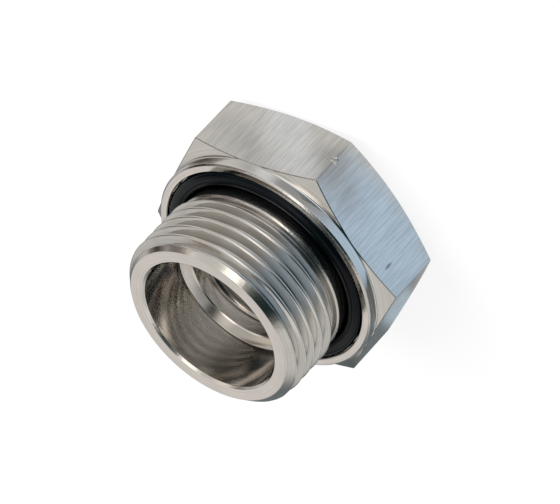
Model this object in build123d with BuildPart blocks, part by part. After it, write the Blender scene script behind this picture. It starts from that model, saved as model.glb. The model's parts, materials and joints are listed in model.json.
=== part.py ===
"""Hexagon reducing coupling: male G1 pipe thread, female G1/2 pipe thread, captive O-ring.

Millimetres. The origin is the centre of the hexagon's rear face, where the smaller pipe
screws in. +Z is the axis of both threads and points to the male end. The coupling stands
on its rear face. One corner of the hexagon lies on +X.

Heights add up from the rear face. Radii add up outwards from the male thread's core: the
land, the ring around it, the recess around the ring, the collar's rim, the flats.
"""
import math
import os

from build123d import *

os.makedirs("parts", exist_ok=True)

# Heights along the axis, one after the other from the rear face
hexagon_height = 12.49
collar_height = 2.11
land_height = 2.3
relief_width = 1.76
thread_length = 11.34

# Threads: parallel pipe threads with 55 degree flanks, right-hand
thread_flank_angle = 27.5
depth_per_pitch = 0.640327
crest_flats_per_pitch = 6
male_major_d = 33.249
male_pitch = 2.309
female_major_d = 20.955
female_pitch = 1.814

# Ends of the male thread
relief_undercut = 0.25
lead_in_undercut = 0.15
lead_in_angle = 45.0
# depth below the land's end at which the ridge's middle first crosses the XZ plane
ridge_start_drop = 0.804
ridge_sink = 0.2
trim_allowance = 0.8

# Land, O-ring, recess and collar
land_step = 0.854
land_bevel = 0.25
ring_section_d = 2.65
ring_land_clearance = 0.05
ring_recess_clearance = 0.2
recess_depth = 2.1
recess_edge_break = 0.15
collar_rim = 1.5
collar_bevel = 0.3
collar_root_fillet = 0.5

# Hexagon, turned down to a cone at each end
flat_standout = 0.1
corner_rounding = 0.3
hexagon_chamfer_angle = 20.0
rear_face_inset = 1.0
blank_allowance = 0.8

# Passage: female thread, its relief and the shoulder, counted from the rear face
female_thread_depth = 16.65
inner_relief_length = 3.05
shoulder_height = 0.7
inner_relief_clearance = 0.12
inner_relief_bevel = 0.2
entry_margin = 0.32
tail_wall = 2.65
male_bore_bevel = 0.4

# Heights that follow
collar_root_z = hexagon_height
collar_face_z = collar_root_z + collar_height
recess_floor_z = collar_face_z - recess_depth
land_end_z = collar_face_z + land_height
thread_start_z = land_end_z + relief_width
total_length = thread_start_z + thread_length
inner_relief_end_z = female_thread_depth
shoulder_end_z = inner_relief_end_z + inner_relief_length
male_bore_end_z = shoulder_end_z + shoulder_height

# Radii that follow
flank_rise = math.tan(math.radians(thread_flank_angle))
lead_in_rise = math.tan(math.radians(lead_in_angle))
cone_rise = math.tan(math.radians(hexagon_chamfer_angle))
major_r = male_major_d / 2
core_r = major_r - depth_per_pitch * male_pitch
relief_r = core_r - relief_undercut
lead_in_r = core_r - lead_in_undercut
bore_r = core_r - tail_wall
land_r = core_r + land_step
ring_r = ring_section_d / 2
ring_path_r = land_r + ring_land_clearance + ring_r
recess_r = ring_path_r + ring_r + ring_recess_clearance
collar_r = recess_r + collar_rim
apothem = collar_r + flat_standout
rear_face_r = apothem - rear_face_inset
blank_r = apothem / math.cos(math.radians(30)) + blank_allowance
minor_r = female_major_d / 2 - depth_per_pitch * female_pitch
inner_relief_r = female_major_d / 2 + inner_relief_clearance
entry_r = female_major_d / 2 + entry_margin

# Outline of the turned blank as (radius, height), anticlockwise from the rear face
outside = [
    (entry_r, 0),
    (rear_face_r, 0),
    (blank_r, (blank_r - rear_face_r) * cone_rise),
    (blank_r, collar_root_z - (blank_r - collar_r) * cone_rise),
    (collar_r, collar_root_z),
    (collar_r, collar_face_z - collar_bevel),
    (collar_r - collar_bevel, collar_face_z),
    (recess_r + recess_edge_break, collar_face_z),
    (recess_r, collar_face_z - recess_edge_break),
    (recess_r, recess_floor_z),
    (land_r, recess_floor_z),
    (land_r, land_end_z - land_bevel),
    (land_r - land_bevel, land_end_z),
    (core_r, land_end_z),
    (core_r, total_length),
]
# The female thread's wall stands at its minor diameter; the entry is a 45 degree cone
passage = [
    (bore_r + male_bore_bevel, total_length),
    (bore_r, total_length - male_bore_bevel),
    (bore_r, male_bore_end_z),
    (inner_relief_r + inner_relief_bevel, shoulder_end_z),
    (inner_relief_r, shoulder_end_z - inner_relief_bevel),
    (inner_relief_r, inner_relief_end_z),
    (minor_r, inner_relief_end_z),
    (minor_r, entry_r - minor_r),
]

# The male thread's ridge, wound past both ends of the thread and squared off there
ridge_base = core_r - ridge_sink
half_crest = male_pitch / crest_flats_per_pitch / 2
half_base = half_crest + (major_r - ridge_base) * flank_rise
trim_r = major_r + trim_allowance
ridge_start_z = land_end_z - ridge_start_drop
ridge_turns = math.ceil((total_length + half_base - ridge_start_z) / male_pitch)
relief_floor_width = relief_width - (major_r - relief_r) * flank_rise
ridge_low_z = land_end_z + relief_floor_width / 2
ridge_high_z = total_length - (core_r - lead_in_r) / lead_in_rise / 2

with BuildPart() as thread_ridge:
    with BuildLine() as winding:
        Helix(
            pitch=male_pitch,
            height=ridge_turns * male_pitch,
            radius=core_r,
            center=(0, 0, ridge_start_z),
        )
    with BuildSketch(Plane.XZ) as ridge_section:
        with BuildLine():
            Polyline(
                (ridge_base, ridge_start_z - half_base),
                (major_r, ridge_start_z - half_crest),
                (major_r, ridge_start_z + half_crest),
                (ridge_base, ridge_start_z + half_base),
                close=True,
            )
        make_face()
    sweep(sections=ridge_section.sketch, path=winding.line, is_frenet=True)
    with Locations((0, 0, ridge_low_z)):
        Cylinder(
            radius=trim_r,
            height=ridge_high_z - ridge_low_z,
            align=(Align.CENTER, Align.CENTER, Align.MIN),
            mode=Mode.INTERSECT,
        )

# Turned body: blank, hexagon flats, thread ridge, then the two cuts that end the thread
with BuildPart() as reducer_body:
    with BuildSketch(Plane.XZ) as half_section:
        with BuildLine():
            Polyline(*outside, *passage, close=True)
        make_face()
        collar_corner = half_section.vertices().sort_by_distance((collar_r, collar_root_z, 0))[0]
        fillet(collar_corner, radius=collar_root_fillet)
    revolve(axis=Axis.Z)
    with BuildSketch() as hexagon:
        RegularPolygon(radius=apothem, side_count=6, major_radius=False)
        fillet(hexagon.vertices(), radius=corner_rounding)
    extrude(amount=total_length, mode=Mode.INTERSECT)
    add(thread_ridge.part)
    with BuildSketch(Plane.XZ) as relief_groove:
        with BuildLine():
            Polyline(
                (relief_r, land_end_z),
                (trim_r, land_end_z),
                (trim_r, thread_start_z + (trim_r - major_r) * flank_rise),
                (relief_r, land_end_z + relief_floor_width),
                close=True,
            )
        make_face()
    revolve(axis=Axis.Z, mode=Mode.SUBTRACT)
    with BuildSketch(Plane.XZ) as lead_in:
        with BuildLine():
            Polyline(
                (lead_in_r, total_length),
                (trim_r, total_length - (trim_r - lead_in_r) * lead_in_rise),
                (trim_r, total_length),
                close=True,
            )
        make_face()
    revolve(axis=Axis.Z, mode=Mode.SUBTRACT)
reducer_body.part.label = "reducer_body"
export_step(reducer_body.part, "parts/reducer_body.step")

# Round-section rubber ring, unloaded on the recess floor
with BuildPart() as o_ring:
    with BuildSketch(Plane.XZ):
        with Locations((ring_path_r, recess_floor_z + ring_r)):
            Circle(radius=ring_r)
    revolve(axis=Axis.Z)
o_ring.part.label = "o_ring"
export_step(o_ring.part, "parts/o_ring.step")
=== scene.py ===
# %% [markdown]
# # A nickel-plated reducing coupling
#
# The real object is turned from one bar of brass: a hexagon for the spanner, a round collar
# in front of it with a rubber ring let into its face, and a male pipe thread. A smaller
# female thread is cut into it from behind. The bright metal is a thin coat of nickel.
#
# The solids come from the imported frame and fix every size. This file gives them their
# finished surfaces, their two materials, the studio and the camera. All sizes below are in
# millimetres and become metres when a mesh is made.

# %% Load the fixed frame
import json
import math

import bpy
import numpy as np
from mathutils import Matrix, Vector

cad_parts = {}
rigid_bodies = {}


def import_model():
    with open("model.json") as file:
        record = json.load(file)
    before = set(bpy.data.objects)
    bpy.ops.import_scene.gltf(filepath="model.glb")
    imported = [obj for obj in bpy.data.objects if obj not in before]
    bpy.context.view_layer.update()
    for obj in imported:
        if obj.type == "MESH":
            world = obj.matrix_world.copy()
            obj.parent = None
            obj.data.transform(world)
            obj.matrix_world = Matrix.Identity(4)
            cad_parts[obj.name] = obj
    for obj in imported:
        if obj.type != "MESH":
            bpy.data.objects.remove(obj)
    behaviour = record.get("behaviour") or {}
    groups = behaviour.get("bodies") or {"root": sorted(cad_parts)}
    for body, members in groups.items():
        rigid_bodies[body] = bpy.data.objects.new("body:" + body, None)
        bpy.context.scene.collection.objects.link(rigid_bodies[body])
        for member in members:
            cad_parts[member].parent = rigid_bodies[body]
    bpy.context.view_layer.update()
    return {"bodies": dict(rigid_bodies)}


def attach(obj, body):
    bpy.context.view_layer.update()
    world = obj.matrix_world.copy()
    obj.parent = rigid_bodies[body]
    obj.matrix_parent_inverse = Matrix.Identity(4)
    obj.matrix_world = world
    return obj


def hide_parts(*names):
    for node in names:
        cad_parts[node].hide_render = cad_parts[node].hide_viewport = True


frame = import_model()
MM = 0.001

# %% [markdown]
# ## Sizes of the coupling
#
# These repeat the solids' driving sizes, so that the finished surface lies on the solid.
# Heights add up from the rear face, and radii add up from the male thread's core outwards,
# in the order in which the parts stand around each other.

# %% Heights along the axis
HEXAGON_TOP = 12.49
COLLAR_FACE = HEXAGON_TOP + 2.11
RECESS_FLOOR = COLLAR_FACE - 2.1
LAND_END = COLLAR_FACE + 2.3
THREAD_START = LAND_END + 1.76
MALE_END = THREAD_START + 11.34
FEMALE_THREAD_END = 16.65
SHOULDER_FOOT = FEMALE_THREAD_END + 3.05
SHOULDER_TOP = SHOULDER_FOOT + 0.7
print("height:", round(MALE_END, 3), "mm; collar face at", round(COLLAR_FACE, 3))

# %% Radii and thread sizes
FLANK_RISE = math.tan(math.radians(27.5))
CONE_RISE = math.tan(math.radians(20.0))
DEPTH_PER_PITCH = 0.640327
MALE_PITCH = 2.309
FEMALE_PITCH = 1.814
MALE_CREST_R = 33.249 / 2
FEMALE_ROOT_R = 20.955 / 2
CORE_R = MALE_CREST_R - DEPTH_PER_PITCH * MALE_PITCH
RELIEF_R = CORE_R - 0.25
LEAD_IN_R = CORE_R - 0.15
BORE_R = CORE_R - 2.65
LAND_R = CORE_R + 0.854
RING_SECTION_R = 2.65 / 2
RING_PATH_R = LAND_R + 0.05 + RING_SECTION_R
RECESS_R = RING_PATH_R + RING_SECTION_R + 0.2
COLLAR_R = RECESS_R + 1.5
APOTHEM = COLLAR_R + 0.1
REAR_FACE_R = APOTHEM - 1.0
CORNER_ROUNDING = 0.3
MINOR_R = FEMALE_ROOT_R - DEPTH_PER_PITCH * FEMALE_PITCH
INNER_RELIEF_R = FEMALE_ROOT_R + 0.12
ENTRY_R = FEMALE_ROOT_R + 0.32
print("across flats:", round(2 * APOTHEM, 2), "mm; ring", round(2 * RING_PATH_R, 2), "mm across")

# %% [markdown]
# ## The angles of the grid
#
# The whole body is one grid that is bent into a closed loop twice: its columns go round the
# axis and its rows go round the wall's section. The columns stand closer together at the six
# corners, so that each corner edge gets its own small rounding, and evenly elsewhere.

# %% Columns round the axis
EVEN_COLUMNS = 18
CORNER_OFFSETS = np.array([0.12, 0.24, 0.365, 0.48, 0.9])


def column_angles():
    """Angles in radians: each corner, small steps beside it, then even steps to mid-flat."""
    even = np.linspace(CORNER_OFFSETS[-1], 30.0, EVEN_COLUMNS + 1)[1:]
    half = np.concatenate([CORNER_OFFSETS, even])
    sector = np.concatenate([[0.0], half, 60.0 - half[-2::-1]])
    return np.radians(np.concatenate([sector + 60.0 * k for k in range(6)]))


ANGLES = column_angles()
print(len(ANGLES), "columns")


# %% [markdown]
# ## The hexagon
#
# A hexagon's radius is the apothem over the cosine of the angle from the nearest flat's
# middle. Near a corner it follows the corner's rounding instead. Both ends of the hexagon
# are turned down to a cone, so the flats end in curves: the height at which a column meets
# the cone follows from its radius.

# %% Hexagon radius by angle
def hexagon_radius(angles):
    """Flat: apothem / cos(angle from mid-flat). Corner: far side of the rounding's circle."""
    from_corner = (angles + math.pi / 6) % (math.pi / 3) - math.pi / 6
    from_flat = math.pi / 6 - np.abs(from_corner)
    flat = APOTHEM / np.cos(from_flat)
    centre = (APOTHEM - CORNER_ROUNDING) / math.cos(math.pi / 6)
    beside = centre * np.sin(from_corner)
    rounding = np.sqrt(np.maximum(CORNER_ROUNDING ** 2 - beside ** 2, 0.0))
    tangent_on_flat = (APOTHEM - CORNER_ROUNDING) * math.tan(math.pi / 6) / APOTHEM
    on_flat = from_flat < math.atan(tangent_on_flat)
    return np.where(on_flat, flat, centre * np.cos(from_corner) + rounding)


FLAT_R = hexagon_radius(ANGLES)
print("hexagon radius from", round(FLAT_R.min(), 3), "to", round(FLAT_R.max(), 3))

# %% [markdown]
# ## Rounded edges on a turned profile
#
# Tools never leave a perfectly sharp edge, and the plating rounds it further, so each corner
# of the section becomes a small arc. Without it an edge would catch no light at all.

# %% Profile with rounded corners
ARC_STEPS = 2


def rounded(points, roundings):
    """Replaces each inner corner of a polyline (radius, height) by an arc of that rounding.

    The arc starts where the two sides touch its circle, and runs in equal angles.
    """
    points = np.asarray(points, float)
    rows = [points[:1]]
    for before, corner, after, size in zip(points, points[1:], points[2:], roundings):
        a = (before - corner) / np.linalg.norm(before - corner)
        b = (after - corner) / np.linalg.norm(after - corner)
        half = math.acos(np.clip(a @ b, -1, 1)) / 2
        reach = size / math.tan(half)
        middle = corner + (a + b) / np.linalg.norm(a + b) * size / math.sin(half)
        start, end = corner + a * reach - middle, corner + b * reach - middle
        turn = math.atan2(start[0] * end[1] - start[1] * end[0], start @ end)
        at = np.linspace(0, turn, ARC_STEPS + 1)[:, None]
        side = np.array([-start[1], start[0]])
        rows.append(middle + np.cos(at) * start + np.sin(at) * side)
    rows.append(points[-1:])
    return np.concatenate(rows)


# %% Stretches of rows
def turned(points, roundings):
    """Rows that are the same at every angle: the rounded profile without its two ends."""
    profile = rounded(points, roundings)[1:-1]
    shape = (len(profile), len(ANGLES))
    return np.broadcast_to(profile[:, :1], shape), np.broadcast_to(profile[:, 1:], shape)


def plain_row(radius, height):
    """One more row on a straight stretch, so that a mask at its end doesn't spread along it."""
    return np.full((1, len(ANGLES)), radius), np.full((1, len(ANGLES)), height)


def stack(*stretches):
    """Joins stretches of (radius, height) rows, one after the other."""
    return np.concatenate([s[0] for s in stretches]), np.concatenate([s[1] for s in stretches])


# %% [markdown]
# ## Threads
#
# A thread is a ridge that climbs one pitch in each turn, so the surface is worked out as a
# height field: the radius at an angle and a height depends only on how far the point lies
# from the nearest crest, measured along the axis. The section is the standard one with 55
# degree flanks, a rounded crest and a rounded root.

# %% Section of the thread
ROUNDING_PER_PITCH = 0.137329
TANGENT_TURN = math.radians(62.5)


def ridge_height(distance, pitch):
    """Height above the root, in mm, at a distance along the axis from a crest's middle.

    Crest: a circle under the full height. Root: the same circle upside down, half a pitch
    away. Between them a straight flank, 27.5 degrees off the plane across the axis.
    """
    radius = ROUNDING_PER_PITCH * pitch
    full = DEPTH_PER_PITCH * pitch
    span = radius * math.sin(TANGENT_TURN)
    drop = radius * (1 - math.cos(TANGENT_TURN))
    off = np.abs((distance / pitch + 0.5) % 1.0 - 0.5) * pitch
    crest = full - radius + np.sqrt(np.maximum(radius ** 2 - off ** 2, 0))
    root = radius - np.sqrt(np.maximum(radius ** 2 - (pitch / 2 - off) ** 2, 0))
    flank = full - drop - (off - span) / FLANK_RISE
    return np.where(off < span, crest, np.where(off > pitch / 2 - span, root, flank))


print("thread depths:", [round(float(ridge_height(0, p)), 3) for p in (MALE_PITCH, FEMALE_PITCH)])

# %% Male and female thread as rows
MALE_CREST_AT_ZERO = LAND_END - 0.804
FEMALE_CREST_AT_ZERO = 1.0
MALE_ROWS_PER_PITCH = 34
FEMALE_ROWS_PER_PITCH = 12


def male_thread(low, high):
    """Rows from low to high: the smallest of thread, run-out flank and 45 degree lead-in."""
    count = int((high - low) / MALE_PITCH * MALE_ROWS_PER_PITCH)
    heights = np.linspace(low, high, count)[:, None] + 0 * ANGLES
    climb = MALE_PITCH * ANGLES / (2 * math.pi)
    ridge = CORE_R + ridge_height(heights - MALE_CREST_AT_ZERO - climb, MALE_PITCH)
    run_out = MALE_CREST_R - (THREAD_START - heights) / FLANK_RISE
    lead_in = LEAD_IN_R + (MALE_END - heights)
    return np.minimum(np.minimum(ridge, run_out), lead_in), heights


def female_thread(high, low):
    """Rows downwards from high to low: the largest of the cut groove and the entry cone."""
    count = int((high - low) / FEMALE_PITCH * FEMALE_ROWS_PER_PITCH)
    heights = np.linspace(high, low, count)[:, None] + 0 * ANGLES
    climb = FEMALE_PITCH * ANGLES / (2 * math.pi)
    groove = MINOR_R + ridge_height(heights - FEMALE_CREST_AT_ZERO - climb, FEMALE_PITCH)
    return np.maximum(groove, ENTRY_R - heights), heights


# %% [markdown]
# ## The body's rows
#
# The section is walked once round: out along the rear face, up the hexagon, over the collar
# and down into the recess, up the land, along the thread to the rim, then down the passage
# and back through the female thread. Each stretch gives its own rows, and the hexagon's rows
# change with the angle.

# %% Hexagon rows
EDGE = 0.08
FLAT_ROWS = 4
NECK_ROUNDING = 0.5
NECK_STEPS = 6
NECK_REACH = NECK_ROUNDING / math.tan(math.radians(55))
NECK_TOUCH_R = COLLAR_R + NECK_REACH * math.cos(math.radians(20))
SETBACK = np.minimum(EDGE, (FLAT_R - COLLAR_R) / 5)


def shoulder_height(radii):
    """Height of the front cone at a radius, with the neck's fillet where it meets the collar.

    The fillet is a circle that touches the collar and the cone. Its centre lies one rounding
    outside the collar, and above the cone's end by the rounding over tan(55 degrees).
    """
    centre_r, centre_z = COLLAR_R + NECK_ROUNDING, HEXAGON_TOP + NECK_REACH
    inside = np.maximum(NECK_ROUNDING ** 2 - (centre_r - radii) ** 2, 0)
    cone = HEXAGON_TOP - (radii - COLLAR_R) * CONE_RISE
    return np.where(radii < NECK_TOUCH_R, centre_z - np.sqrt(inside), cone)


def hexagon_rows():
    """Rows on the rear cone's end, up the flats, down the front cone and round the neck.

    Each flat's edge is broken a little on both sides of the curve where it meets the cone,
    and one more row beside it keeps the edge's dark line thin. The neck's rows run in
    equal angles round its circle, from wherever a flat lets it start.
    """
    foot = (FLAT_R - REAR_FACE_R) * CONE_RISE
    top = shoulder_height(FLAT_R)
    share = np.linspace(0, 1, FLAT_ROWS)[:, None]
    heights = foot + EDGE + share * (top - foot - 2 * EDGE)
    flats = np.broadcast_to(FLAT_R, heights.shape), heights
    back = (FLAT_R - EDGE)[None], (foot - EDGE * CONE_RISE)[None]
    edge = (FLAT_R - SETBACK)[None]
    beside = (FLAT_R - 2.5 * SETBACK)[None]
    start = np.minimum(NECK_TOUCH_R, FLAT_R - 3.5 * SETBACK)
    first = np.arcsin((COLLAR_R + NECK_ROUNDING - start) / NECK_ROUNDING)
    turn = first + np.linspace(0, 1, NECK_STEPS + 1)[:, None] * (math.pi / 2 - first)
    neck = (COLLAR_R + NECK_ROUNDING * (1 - np.sin(turn)),
            HEXAGON_TOP + NECK_REACH - NECK_ROUNDING * np.cos(turn))
    cone = stack((edge, shoulder_height(edge)), (beside, shoulder_height(beside)))
    return stack(back, flats, cone, neck)


# %% The whole section, row by row
def body_rows():
    """All rows of the body, once round its section."""
    rear = turned([(ENTRY_R - 1, 1), (ENTRY_R, 0), (REAR_FACE_R, 0),
                   (APOTHEM, CONE_RISE)], [0.06, 0.12])
    collar = turned([(COLLAR_R, HEXAGON_TOP), (COLLAR_R, COLLAR_FACE - 0.3),
                     (COLLAR_R - 0.3, COLLAR_FACE), (RECESS_R + 0.15, COLLAR_FACE),
                     (RECESS_R, COLLAR_FACE - 0.15), (RECESS_R, RECESS_FLOOR),
                     (LAND_R, RECESS_FLOOR), (LAND_R, LAND_END - 0.25),
                     (LAND_R - 0.25, LAND_END), (RELIEF_R, LAND_END),
                     (RELIEF_R, THREAD_START - 0.9)],
                    [0.1, 0.1, 0.06, 0.06, 0.1, 0.1, 0.08, 0.08, 0.15])
    groove_end = THREAD_START - (MALE_CREST_R - RELIEF_R) * FLANK_RISE
    thread = male_thread(groove_end, MALE_END - 0.04)
    rim = turned([(LEAD_IN_R + 1, MALE_END - 1), (LEAD_IN_R, MALE_END),
                  (BORE_R + 0.4, MALE_END), (BORE_R, MALE_END - 0.4),
                  (BORE_R, SHOULDER_TOP)], [0.05, 0.08, 0.08])
    bore = stack(plain_row(BORE_R, MALE_END - 0.8), plain_row(BORE_R, MALE_END - 4.0))
    passage = turned([(BORE_R, MALE_END), (BORE_R, SHOULDER_TOP),
                      (INNER_RELIEF_R + 0.2, SHOULDER_FOOT),
                      (INNER_RELIEF_R, SHOULDER_FOOT - 0.2),
                      (INNER_RELIEF_R, FEMALE_THREAD_END), (MINOR_R, FEMALE_THREAD_END)],
                     [0.1, 0.06, 0.06, 0.08])
    inner = female_thread(FEMALE_THREAD_END, 0.07)
    return stack(rear, hexagon_rows(), collar, thread, rim, bore, passage, inner)


radii, heights = body_rows()
print("body grid:", radii.shape, "=", 2 * radii.size, "triangles")

# %% [markdown]
# ## From a grid to a mesh
#
# The grid's rows and columns both close on themselves, so each vertex has a neighbour on
# every side and there is no open seam. The shading normals are worked out as the sum of the
# four faces around a vertex, each counted by its area: a wide flat face then keeps its own
# direction up to its edge, and only the narrow strip of the rounding bends the light.

# %% Mesh helpers
def grid_mesh(name, points):
    """A mesh from a grid (rows, columns, 3) in mm that closes in both directions.

    Face (i, j) joins point (i, j) to its neighbours in the next row and column. A vertex
    normal is the sum of the cross products of the diagonals of its four faces.
    """
    rows, columns = points.shape[:2]
    index = np.arange(rows * columns).reshape(rows, columns)
    right, up = np.roll(index, -1, 1), np.roll(index, -1, 0)
    over = np.roll(up, -1, 1)
    faces = np.stack([index, right, over, up], -1).reshape(-1, 4)
    flat = points.reshape(-1, 3)
    area = np.cross(flat[over] - flat[index], flat[up] - flat[right])
    normals = area + np.roll(area, 1, 1)
    normals = (normals + np.roll(normals, 1, 0)).reshape(-1, 3)
    normals /= np.linalg.norm(normals, axis=1, keepdims=True)
    mesh = bpy.data.meshes.new(name)
    mesh.vertices.add(len(flat))
    mesh.vertices.foreach_set("co", (flat * MM).ravel())
    mesh.loops.add(faces.size)
    mesh.loops.foreach_set("vertex_index", faces.ravel())
    mesh.polygons.add(len(faces))
    mesh.polygons.foreach_set("loop_start", np.arange(len(faces)) * 4)
    mesh.update(calc_edges=True)
    mesh.shade_smooth()
    mesh.normals_split_custom_set_from_vertices(normals)
    volume = np.einsum("ijk,ijk->", points + np.roll(points, (-1, -1), (0, 1)), area) / 12
    print(name, "faces", len(faces), "volume", round(float(volume), 1), "mm3")
    return mesh


def add_piece(name, points, node):
    """A new object at the origin that stands for a solid and rides on the only body."""
    piece = bpy.data.objects.new(name, grid_mesh(name, points))
    bpy.context.scene.collection.objects.link(piece)
    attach(piece, next(iter(frame["bodies"])))
    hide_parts(node)
    return piece


# %% Body and ring
def around(radii, heights, angles):
    """Points (radius * cos, radius * sin, height) for rows of radii and heights."""
    return np.stack([radii * np.cos(angles), radii * np.sin(angles), heights + 0 * radii], -1)


RING_COLUMNS = 192
RING_ROWS = 40


def ring_points():
    """A circle of the ring's section carried round the axis on the recess floor."""
    turn = np.linspace(0, 2 * math.pi, RING_COLUMNS, endpoint=False)
    section = np.linspace(0, 2 * math.pi, RING_ROWS, endpoint=False)[:, None] + 0 * turn
    radii = RING_PATH_R + RING_SECTION_R * np.cos(section)
    heights = RECESS_FLOOR + RING_SECTION_R + RING_SECTION_R * np.sin(section)
    return around(radii, heights, turn)


body = add_piece("coupling_body", around(radii, heights, ANGLES), "reducer_body")
ring = add_piece("sealing_ring", ring_points(), "o_ring")

# %% [markdown]
# ## Where each finish lies
#
# The body is one piece of metal with several finishes. The flats keep the lines of the drawn
# bar, and all else is turned. The thread's roots get painted shade, the tool leaves a small
# ragged burr on some edges and slow waves where it chattered, and a thin line of painted shade
# runs along the curve where each flat ends. Five numbers at every vertex tell the material
# which is which. They follow from the vertex's place in the section, so they need no painting.

# %% Masks on the body's vertices
BURRED_EDGES = [(COLLAR_R - 0.15, COLLAR_FACE - 0.15), (LAND_R - 0.12, LAND_END - 0.12),
                (BORE_R + 0.2, MALE_END - 0.2)]
BURR_REACH = 0.32
# The thread's roots get painted shade by their depth, faded out near the lead-in.
UNSHADED_END, ROOT_SHADE_FADE = 1.3, 0.6
THREAD_CHATTER, COLLAR_CHATTER = 0.9, 0.35


def thread_depth():
    """Share of the way from crest to root, for both threads, and 0 away from them.

    On the male thread it fades out below the unshaded end that the lead-in takes up.
    """
    male = (MALE_CREST_R - radii) / (DEPTH_PER_PITCH * MALE_PITCH)
    male = male * np.clip((MALE_END - UNSHADED_END - heights) / ROOT_SHADE_FADE, 0, 1)
    male = male * (heights > LAND_END) * (radii > RELIEF_R - 0.01)
    female = (radii - MINOR_R) / (DEPTH_PER_PITCH * FEMALE_PITCH)
    female = female * (heights < FEMALE_THREAD_END) * (radii < ENTRY_R + 0.01)
    return np.clip(male, 0, 1) + np.clip(female, 0, 1)


def near_edges():
    """1 within half the burr's reach of a burred edge, then evenly down to 0 at three halves."""
    gaps = [np.hypot(radii - r, heights - z) for r, z in BURRED_EDGES]
    return np.clip(1.5 - np.min(gaps, 0) / BURR_REACH, 0, 1)


# The material paints a line of shade along this mask.
def arris():
    """1 on the sharp curve where each flat meets the front cone, and 0 on the rows beside it."""
    return np.isclose(radii, FLAT_R - SETBACK) & (heights > HEXAGON_TOP / 2)


def chatter_share():
    """How far the tool chattered: fully on the male thread, a little on the collar below it."""
    outside = radii > BORE_R + 1
    on_thread = outside & (heights > LAND_END)
    on_collar = outside & (heights > HEXAGON_TOP - 2)
    return np.minimum(THREAD_CHATTER * on_thread + COLLAR_CHATTER * on_collar, 1)


masks = {"flat_face": np.isclose(radii, FLAT_R), "thread_depth": thread_depth(),
         "burred_edge": near_edges(), "arris": arris(), "chatter": chatter_share()}
for name, values in masks.items():
    attribute = body.data.attributes.new(name, "FLOAT", "POINT")
    attribute.data.foreach_set("value", values.astype(np.float32).ravel())
    print(name, "covers", round(float(values.mean()), 3), "of the grid")

# %% [markdown]
# ## The camera
#
# The photograph was taken with a long lens from in front of the male end and above, with the
# camera rolled so that the axis runs down to the left. The place and the turn below were
# fitted to the object's corners and circles; the picture is 560 pixels wide and 504 high.

# %% Camera
CAMERA_PLACE = Vector((0.25444, -0.61941, 0.44763))
CAMERA_RIGHT = Vector((-0.53577, -0.62288, -0.57006))
CAMERA_UP = Vector((0.78197, -0.11131, -0.61330))
camera_data = bpy.data.cameras.new("camera")
camera_data.lens = 321.4
camera_data.sensor_width = 36.0
camera_data.clip_start = 0.01
camera_data.clip_end = 10.0
camera = bpy.data.objects.new("camera", camera_data)
bpy.context.scene.collection.objects.link(camera)
turn = Matrix((CAMERA_RIGHT, CAMERA_UP, CAMERA_RIGHT.cross(CAMERA_UP))).transposed()
camera.matrix_world = Matrix.Translation(CAMERA_PLACE) @ turn.to_4x4()
bpy.context.scene.camera = camera
print("camera", round(CAMERA_PLACE.length, 3), "m from the part")

# %% [markdown]
# ## Patterns that the two materials share
#
# Machined metal and moulded rubber both show lines that run round the axis, and grain, which
# on drawn metal is stretched along the axis. The metal has a few small single marks as well.
# Each of the three is a node group with named inputs, and reads the object's own coordinates
# in metres, so a pattern keeps its size on the part and stays where it is from every side.

# %% Node helpers
def add_node(tree, kind, values=None, **settings):
    """A node of the given kind, its settings, and numbers for its unlinked inputs."""
    made = tree.nodes.new(kind)
    for key, value in settings.items():
        setattr(made, key, value)
    for key, value in (values or {}).items():
        made.inputs[key].default_value = value
    return made


def maths(tree, operation, *terms, clamp=False):
    """The output of a Math node; each term is a number or another node's output."""
    made = add_node(tree, "ShaderNodeMath", operation=operation, use_clamp=clamp)
    for slot, term in zip(made.inputs, terms):
        if isinstance(term, bpy.types.NodeSocket):
            tree.links.new(term, slot)
        else:
            slot.default_value = term
    return made.outputs[0]


def new_group(name, inputs, outputs):
    """An empty shader group with named inputs (kind, usual value) and float outputs."""
    tree = bpy.data.node_groups.new(name, "ShaderNodeTree")
    for label, (kind, usual) in inputs.items():
        socket = tree.interface.new_socket(label, in_out="INPUT", socket_type=kind)
        socket.default_value = usual
    for label in outputs:
        tree.interface.new_socket(label, in_out="OUTPUT", socket_type="NodeSocketFloat")
    return tree, add_node(tree, "NodeGroupInput"), add_node(tree, "NodeGroupOutput")


def use_group(tree, group, **values):
    """The group placed in a material with its own values; an underscore stands for a space."""
    made = add_node(tree, "ShaderNodeGroup", node_tree=group)
    for key, value in values.items():
        made.inputs[key.replace("_", " ")].default_value = value
    return made.outputs[0]


FLOAT, VECTOR = "NodeSocketFloat", "NodeSocketVector"

# %% Group: lines round the axis
ring_lines, given, result = new_group(
    "ring_lines", {"Per Metre": (FLOAT, 3000.0), "Wander": (FLOAT, 0.5)}, ["Lines"])
links = ring_lines.links
place = add_node(ring_lines, "ShaderNodeTexCoord").outputs["Object"]
flat_place = add_node(ring_lines, "ShaderNodeVectorMath", {1: (1, 1, 0)}, operation="MULTIPLY")
links.new(place, flat_place.inputs[0])
away = add_node(ring_lines, "ShaderNodeVectorMath", operation="LENGTH")
links.new(flat_place.outputs[0], away.inputs[0])
outward = add_node(ring_lines, "ShaderNodeVectorMath", operation="NORMALIZE")
links.new(flat_place.outputs[0], outward.inputs[0])
drift = add_node(ring_lines, "ShaderNodeVectorMath", operation="SCALE")
links.new(outward.outputs[0], drift.inputs[0])
links.new(given.outputs["Wander"], drift.inputs["Scale"])
split = add_node(ring_lines, "ShaderNodeSeparateXYZ")
links.new(place, split.inputs[0])
across = add_node(ring_lines, "ShaderNodeCombineXYZ")
links.new(maths(ring_lines, "MULTIPLY", away.outputs["Value"], given.outputs["Per Metre"]),
          across.inputs["X"])
links.new(maths(ring_lines, "MULTIPLY", split.outputs["Z"], given.outputs["Per Metre"]),
          across.inputs["Y"])
shifted = add_node(ring_lines, "ShaderNodeVectorMath", operation="ADD")
links.new(across.outputs[0], shifted.inputs[0])
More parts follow.
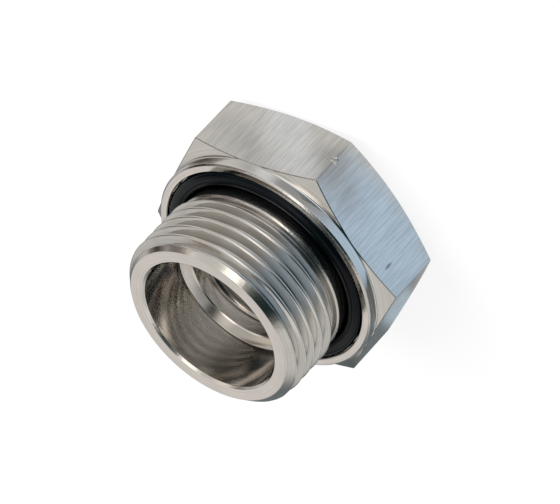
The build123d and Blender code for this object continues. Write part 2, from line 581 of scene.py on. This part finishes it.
links.new(drift.outputs[0], shifted.inputs[1])
noise = add_node(ring_lines, "ShaderNodeTexNoise", {"Scale": 1.0, "Detail": 2.0})
links.new(shifted.outputs[0], noise.inputs["Vector"])
links.new(noise.outputs[0], result.inputs["Lines"])
print("group", ring_lines.name, "nodes", len(ring_lines.nodes))

# %% Group: grain, stretched along the axis if its two numbers differ
grain, given, result = new_group(
    "stretched_grain", {"Across": (FLOAT, 3000.0), "Along": (FLOAT, 3000.0),
                        "Detail": (FLOAT, 2.0)}, ["Grain"])
links = grain.links
stretch = add_node(grain, "ShaderNodeCombineXYZ")
for axis, label in (("X", "Across"), ("Y", "Across"), ("Z", "Along")):
    links.new(given.outputs[label], stretch.inputs[axis])
scaled = add_node(grain, "ShaderNodeVectorMath", operation="MULTIPLY")
links.new(add_node(grain, "ShaderNodeTexCoord").outputs["Object"], scaled.inputs[0])
links.new(stretch.outputs[0], scaled.inputs[1])
noise = add_node(grain, "ShaderNodeTexNoise", {"Scale": 1.0})
links.new(scaled.outputs[0], noise.inputs["Vector"])
links.new(given.outputs["Detail"], noise.inputs["Detail"])
links.new(noise.outputs[0], result.inputs["Grain"])
print("group", grain.name, "nodes", len(grain.nodes))

# %% Group: one small mark at a place
mark, given, result = new_group(
    "single_mark", {"Middle": (VECTOR, (0, 0, 0)), "Reach": (VECTOR, (1, 1, 1))}, ["Mark"])
links = mark.links
offset = add_node(mark, "ShaderNodeVectorMath", operation="SUBTRACT")
links.new(add_node(mark, "ShaderNodeTexCoord").outputs["Object"], offset.inputs[0])
links.new(given.outputs["Middle"], offset.inputs[1])
shares = add_node(mark, "ShaderNodeVectorMath", operation="DIVIDE")
links.new(offset.outputs[0], shares.inputs[0])
links.new(given.outputs["Reach"], shares.inputs[1])
away = add_node(mark, "ShaderNodeVectorMath", operation="LENGTH")
links.new(shares.outputs[0], away.inputs[0])
inside = maths(mark, "SUBTRACT", 1.0, away.outputs["Value"], clamp=True)
links.new(maths(mark, "SMOOTH_MIN", inside, 0.6, 0.3), result.inputs["Mark"])
print("group", mark.name, "nodes", len(mark.nodes))

# %% [markdown]
# ## Nickel plate
#
# A thin coat of nickel is a metal with a slightly warm grey reflection. It follows every
# trace of the tool beneath it: fine rings on the turned faces, lines along the flats, and
# slow waves on the thread where the tool chattered. The relief is a real height in
# millimetres: a few thousandths for the lines, a few hundredths for waves and burrs, and more
# in the nick and the scratch. One Bump node turns it into a normal. The rings also stretch
# each reflection across themselves, which the shader's anisotropy stands for.

# %% Material helpers
def new_material(name):
    """An empty node material and its Principled shader."""
    material = bpy.data.materials.new(name)
    material.use_nodes = True
    return material, material.node_tree.nodes["Principled BSDF"]


def blend(tree, amount, low, high):
    """A colour mixed from low to high by an amount; each is a colour or an output."""
    made = add_node(tree, "ShaderNodeMix", data_type="RGBA", clamp_factor=True)
    for slot, term in zip((made.inputs[0], made.inputs[6], made.inputs[7]), (amount, low, high)):
        if isinstance(term, bpy.types.NodeSocket):
            tree.links.new(term, slot)
        else:
            slot.default_value = term
    return made.outputs[2]


def relief(tree, shader, height):
    """Feeds a height in millimetres to the shader's normal."""
    bump = add_node(tree, "ShaderNodeBump", {"Strength": 1.0, "Distance": 1.0 * MM})
    tree.links.new(height, bump.inputs["Height"])
    tree.links.new(bump.outputs[0], shader.inputs["Normal"])


def spread(tree, value, low, high):
    """A pattern's narrow band from low to high, spread to the whole of 0 to 1."""
    made = add_node(tree, "ShaderNodeMapRange", {"From Min": low, "From Max": high})
    tree.links.new(value, made.inputs["Value"])
    return made.outputs["Result"]


def vertex_value(tree, name):
    """The output of a named number at the vertices."""
    return add_node(tree, "ShaderNodeAttribute", attribute_name=name).outputs["Fac"]


# %% Nickel's tints, depths and marks
RING_TINTS = (0.63, 0.60, 0.56, 1), (0.72, 0.69, 0.65, 1)
FLAT_TINTS = (0.58, 0.56, 0.53, 1), (0.76, 0.73, 0.69, 1)
CLOUD_TINT = (0.45, 0.42, 0.38, 1)
# Colour of the painted shade in the thread's roots.
ROOT_SHADE_TINT = (0.16, 0.15, 0.14, 1)
# Colour of the painted shade line along each flat's edge, and of the real scratch.
EDGE_SHADE_AND_SCRATCH_TINT = (0.08, 0.075, 0.07, 1)
RING_DEPTH, DRAW_DEPTH, WAVE_DEPTH, BURR_DEPTH = 0.0010, 0.0020, 0.016, 0.024
NICK_DEPTH, SCRATCH_DEPTH = 0.25, 0.12
NICK_TURN = math.radians(-60)
NICK_PLACE = (FLAT_R.max() * MM * math.cos(NICK_TURN), FLAT_R.max() * MM * math.sin(NICK_TURN),
              6.1 * MM)
NICK_REACH = (0.9 * MM, 0.9 * MM, 0.6 * MM)
SCRATCH_PLACE = (-7.1 * MM, -APOTHEM * MM, 9.1 * MM)
SCRATCH_REACH = (0.35 * MM, 1.0 * MM, 1.1 * MM)

# %% Nickel material
nickel, shader = new_material("nickel_plate")
tree = nickel.node_tree
shader.inputs["Metallic"].default_value = 1.0
shader.inputs["Anisotropic"].default_value = 0.7
round_axis = add_node(tree, "ShaderNodeTangent", direction_type="RADIAL", axis="Z")
tree.links.new(round_axis.outputs[0], shader.inputs["Tangent"])
flat_face = vertex_value(tree, "flat_face")
depth = vertex_value(tree, "thread_depth")
burred = vertex_value(tree, "burred_edge")
sharp = vertex_value(tree, "arris")
chattered = vertex_value(tree, "chatter")
turned_face = maths(tree, "SUBTRACT", 1.0, flat_face)
fine_rings = use_group(tree, ring_lines, Per_Metre=3600.0, Wander=0.4)
draw_lines = use_group(tree, grain, Across=3400.0, Along=200.0, Detail=4.0)
draw_lines = spread(tree, draw_lines, 0.34, 0.66)
fine_rings = spread(tree, fine_rings, 0.34, 0.66)
cloud = spread(tree, use_group(tree, grain, Across=260.0, Along=260.0, Detail=3.0), 0.3, 0.7)
waves = use_group(tree, grain, Across=900.0, Along=500.0, Detail=1.0)
burr = use_group(tree, grain, Across=2600.0, Along=2600.0, Detail=2.0)
nick = use_group(tree, mark, Middle=NICK_PLACE, Reach=NICK_REACH)
scratch = use_group(tree, mark, Middle=SCRATCH_PLACE, Reach=SCRATCH_REACH)

line_colour = blend(tree, fine_rings, *RING_TINTS)
flat_colour = blend(tree, draw_lines, *FLAT_TINTS)
clean = blend(tree, flat_face, line_colour, flat_colour)
clouded = blend(tree, maths(tree, "MULTIPLY", cloud, 0.16), clean, CLOUD_TINT)
# Painted shade: the thread's roots are darkened by their depth.
root_shaded = blend(tree, maths(tree, "MULTIPLY", depth, 0.35), clouded, ROOT_SHADE_TINT)
# Painted shade line along each flat's edge, mixed with the real scratch's dark colour.
edge_shade_and_scratch = maths(tree, "MAXIMUM", maths(tree, "MULTIPLY", sharp, 0.8), scratch)
edge_shaded_and_scratched = blend(tree, edge_shade_and_scratch, root_shaded, EDGE_SHADE_AND_SCRATCH_TINT)
tree.links.new(edge_shaded_and_scratched, shader.inputs["Base Color"])

rough = maths(tree, "MULTIPLY_ADD", cloud, 0.05, 0.10)
rough = maths(tree, "MULTIPLY_ADD", flat_face, 0.14, rough)
rough = maths(tree, "MULTIPLY_ADD", depth, 0.10, rough)
tree.links.new(rough, shader.inputs["Roughness"])

height = maths(tree, "MULTIPLY", maths(tree, "MULTIPLY", fine_rings, turned_face), RING_DEPTH)
lines = maths(tree, "MULTIPLY", maths(tree, "MULTIPLY", draw_lines, flat_face), DRAW_DEPTH)
chatter = maths(tree, "MULTIPLY", maths(tree, "MULTIPLY", waves, chattered), WAVE_DEPTH)
ragged = maths(tree, "MULTIPLY", maths(tree, "MULTIPLY", burr, burred), BURR_DEPTH)
height = maths(tree, "ADD", maths(tree, "ADD", height, lines), maths(tree, "ADD", chatter, ragged))
height = maths(tree, "MULTIPLY_ADD", nick, -NICK_DEPTH, height)
height = maths(tree, "MULTIPLY_ADD", scratch, -SCRATCH_DEPTH, height)
relief(tree, shader, height)
body.data.materials.append(nickel)
print("nickel nodes:", len(tree.nodes))

# %% [markdown]
# ## Black rubber
#
# The ring is moulded nitrile rubber: nearly black, with a soft sheen and the fine grain of
# its mould. Its colour must not be pure black, or no shape would be left in the shade.

# %% Rubber material
RUBBER_TINTS = (0.0010, 0.0022, 0.0030, 1), (0.0020, 0.0040, 0.0055, 1)
SKIN_DEPTH = 0.004
rubber, shader = new_material("black_rubber")
tree = rubber.node_tree
shader.inputs["IOR"].default_value = 1.5
shader.inputs["Specular IOR Level"].default_value = 0.12
skin = use_group(tree, grain, Across=2600.0, Along=2600.0, Detail=3.0)
film = use_group(tree, grain, Across=150.0, Along=150.0, Detail=2.0)
mould_rings = use_group(tree, ring_lines, Per_Metre=1500.0, Wander=0.3)
tree.links.new(blend(tree, film, *RUBBER_TINTS), shader.inputs["Base Color"])
tree.links.new(maths(tree, "MULTIPLY_ADD", film, 0.12, 0.12), shader.inputs["Roughness"])
height = maths(tree, "MULTIPLY", mould_rings, SKIN_DEPTH)
relief(tree, shader, maths(tree, "MULTIPLY_ADD", skin, SKIN_DEPTH, height))
ring.data.materials.append(rubber)
print("rubber nodes:", len(tree.nodes))

# %% [markdown]
# ## The light tent
#
# Bright metal shows what stands around it far more than its own colour, so the studio is
# built for its reflections. The part stands in a small round tent of pale cloth, as a
# photographer would use: dim at the foot of its wall, with brighter and darker places where
# lamps, flags and the opening for the camera are. Only reflections see the tent. The camera
# and the lamps look straight through it.
#
# Every place on the cloth has an azimuth and an elevation as seen from the part, and negative
# elevations are the cloth on the ground. Each panel is laid over the ones before it.

# %% Panels of the tent
# name: azimuth, elevation, half width, half height in degrees, then the colour of its light
PANELS = {
    "foot of the wall": (180, 8, 400, 10, (0.45, 0.44, 0.44)),
    "dark corner": (124, 13, 15, 13, (0.02, 0.02, 0.02)),
    "dark seam": (40, 19, 20, 11, (0.03, 0.02, 0.01)),
    "front softbox": (305, 14, 34, 18, (0.95, 1.02, 1.10)),
    "dark flag": (259, 29, 23, 44, (0.01, 0.02, 0.02)),
    "blue flag": (298, 37, 13, 14, (0.05, 0.10, 0.16)),
    "top opening": (250, 84, 6, 6, (0.0, 0.0, 0.0)),
    "top window": (190, 78, 8, 5, (0.40, 0.46, 0.55)),
    "key strip": (316, 64, 9, 15, (1.35, 1.28, 1.20)),
    "back lamp": (197, 55, 11, 12, (0.70, 0.70, 0.70)),
    "back window": (108, 40, 26, 11, (0.60, 0.58, 0.57)),
    "warm lamp": (21, 51, 9, 12, (0.74, 0.70, 0.64)),
    "dark pole": (41, 67, 4, 12, (0.20, 0.17, 0.14)),
    "dark hem": (357, 36, 50, 6, (0.16, 0.13, 0.13)),
    "warm softbox": (326, 38, 12, 11, (0.76, 0.72, 0.69)),
    "shaded ground": (158, -10, 94, 27, (0.12, 0.14, 0.15)),
    "ground behind": (195, -28, 13, 6, (0.36, 0.44, 0.50)),
    "blue sheet": (262, -15, 32, 18, (0.40, 0.52, 0.66)),
    "far sheet": (204, -5, 49, 6, (1.10, 1.12, 1.13)),
    "shade before the corner": (313, -21, 37, 5, (0.27, 0.28, 0.29)),
    "pale sheet": (335, -28, 10, 15, (0.60, 0.62, 0.64)),
    "dark horizon": (264, -1, 61, 8, (0.0, 0.05, 0.07)),
    "light below": (0, -90, 400, 30, (1.10, 1.20, 1.30)),
}
CLOTH = (0.52, 0.52, 0.51)
TENT_LEVEL = 1.4
TENT_R = 250.0
EYE_HEIGHT = 13.0
CLOTH_DROP = 0.1
SOFT_EDGE = 0.7


def tent_light(azimuth, elevation):
    """The cloth's glow, in degrees: soft-edged ellipses, each mixed over what lies below."""
    glow = np.zeros(azimuth.shape + (3,)) + CLOTH
    for at, up, wide, high, colour in PANELS.values():
        aside = ((azimuth - at + 180) % 360 - 180) * np.cos(np.radians(elevation))
        edge = np.hypot(aside / wide, (elevation - up) / high)
        cover = np.clip((1 + SOFT_EDGE / 2 - edge) / SOFT_EDGE, 0, 1)
        cover = (cover ** 2 * (3 - 2 * cover))[..., None]
        glow = glow * (1 - cover) + np.array(colour) * cover
    return glow * TENT_LEVEL


# %% Tent
def tent_points(azimuth, elevation):
    """Upwards a sphere round the origin; downwards the ground, at eye height / tan(elevation)."""
    down = np.minimum(elevation, -1.0)
    ground = np.minimum(EYE_HEIGHT / np.tan(np.radians(-down)), TENT_R)
    out = np.where(elevation < 0, ground, TENT_R * np.cos(np.radians(elevation)))
    up = np.where(elevation < 0, -CLOTH_DROP, TENT_R * np.sin(np.radians(elevation)))
    turn = np.radians(azimuth)
    return np.stack([out * np.cos(turn), out * np.sin(turn), up], -1)


GROUND, WALL = np.arange(-89.5, -3, 1.5), np.arange(0, 90, 2.0)
azimuth, elevation = np.meshgrid(np.arange(0, 361, 3.0), np.concatenate([GROUND, WALL]))
rows, columns = azimuth.shape
index = np.arange(rows * columns).reshape(rows, columns)
faces = np.stack([index[:-1, :-1], index[:-1, 1:], index[1:, 1:], index[1:, :-1]], -1)
tent_mesh = bpy.data.meshes.new("light_tent")
points = tent_points(azimuth, elevation) * MM
tent_mesh.from_pydata(points.reshape(-1, 3), [], faces.reshape(-1, 4).tolist())
glow = np.concatenate([tent_light(azimuth, elevation), np.ones((rows, columns, 1))], -1)
tent_mesh.attributes.new("glow", "FLOAT_COLOR", "POINT").data.foreach_set("color", glow.ravel())
tent = bpy.data.objects.new("light_tent", tent_mesh)
bpy.context.scene.collection.objects.link(tent)
tent.visible_camera = False
tent.visible_diffuse = False
tent.visible_shadow = False
cloth = bpy.data.materials.new("tent_cloth")
cloth.use_nodes = True
tree = cloth.node_tree
tree.nodes.clear()
emission = add_node(tree, "ShaderNodeEmission", {"Strength": 1.0})
tree.links.new(add_node(tree, "ShaderNodeAttribute", attribute_name="glow").outputs["Color"],
               emission.inputs["Color"])
tree.links.new(emission.outputs[0], add_node(tree, "ShaderNodeOutputMaterial").inputs[0])
cloth.cycles.emission_sampling = "NONE"
tent_mesh.materials.append(cloth)
print("tent light from", round(float(glow[..., :3].min()), 2), "to", round(float(glow.max()), 2))

# %% [markdown]
# ## Floor and lamps
#
# The floor is a sheet of white paper. For the camera and in reflections most of its light is
# its own, so that it comes out white, and the rest is lit, so that it keeps the shadow. It
# lies just below the tent's ground, which the metal's reflections meet first.

# %% Floor
SIDE = 1.5
PAPER_DROP = 0.3 * MM
OWN_LIGHT = 0.85
floor_mesh = bpy.data.meshes.new("floor")
corners = [(-SIDE, -SIDE, -PAPER_DROP), (SIDE, -SIDE, -PAPER_DROP),
           (SIDE, SIDE, -PAPER_DROP), (-SIDE, SIDE, -PAPER_DROP)]
floor_mesh.from_pydata(corners, [], [(0, 1, 2, 3)])
floor = bpy.data.objects.new("floor", floor_mesh)
bpy.context.scene.collection.objects.link(floor)


def seen_share(tree):
    """OWN_LIGHT for camera, glossy and transmission rays, and 0 for all others."""
    path = add_node(tree, "ShaderNodeLightPath")
    seen = maths(tree, "MAXIMUM", path.outputs["Is Camera Ray"], path.outputs["Is Glossy Ray"])
    seen = maths(tree, "MAXIMUM", seen, path.outputs["Is Transmission Ray"])
    return maths(tree, "MULTIPLY", seen, OWN_LIGHT)


paper, shader = new_material("paper")
tree = paper.node_tree
shader.inputs["Base Color"].default_value = (0.92, 0.92, 0.92, 1)
shader.inputs["Specular IOR Level"].default_value = 0.0
shader.inputs["Roughness"].default_value = 1.0
mix = add_node(tree, "ShaderNodeMixShader")
tree.links.new(seen_share(tree), mix.inputs["Fac"])
tree.links.new(shader.outputs["BSDF"], mix.inputs[1])
tree.links.new(add_node(tree, "ShaderNodeEmission", {"Strength": 1.0}).outputs[0], mix.inputs[2])
tree.links.new(mix.outputs[0], tree.nodes["Material Output"].inputs["Surface"])
floor.data.materials.append(paper)

# %% World and lamp
world = bpy.data.worlds.new("studio")
bpy.context.scene.world = world
world.use_nodes = True
tree = world.node_tree
plain = tree.nodes["Background"]
plain.inputs["Color"].default_value = (0.97, 0.98, 1.0, 1)
plain.inputs["Strength"].default_value = 0.8
white = add_node(tree, "ShaderNodeBackground", {"Strength": 1.0})
white.inputs["Color"].default_value = (1, 1, 1, 1)
mix = add_node(tree, "ShaderNodeMixShader")
path = add_node(tree, "ShaderNodeLightPath")
tree.links.new(path.outputs["Is Camera Ray"], mix.inputs["Fac"])
tree.links.new(plain.outputs[0], mix.inputs[1])
tree.links.new(white.outputs[0], mix.inputs[2])
tree.links.new(mix.outputs[0], tree.nodes["World Output"].inputs["Surface"])


def lamp(name, place, size, power, colour=(1, 1, 1)):
    """A square area lamp at a place in mm that points at the part's middle."""
    data = bpy.data.lights.new(name, "AREA")
    data.size = size * MM
    data.energy = power
    data.color = colour
    piece = bpy.data.objects.new(name, data)
    bpy.context.scene.collection.objects.link(piece)
    at = Vector(place) * MM
    to = Vector((0, 0, MALE_END / 2)) * MM - at
    piece.matrix_world = Matrix.Translation(at) @ to.to_track_quat("-Z", "Y").to_matrix().to_4x4()
    piece.visible_glossy = False
    return piece


lamp("key", (350, 150, 500), 400, 4.0, (1.0, 0.97, 0.93))

# %% Finish
scene = bpy.context.scene
scene.view_settings.view_transform = "Standard"
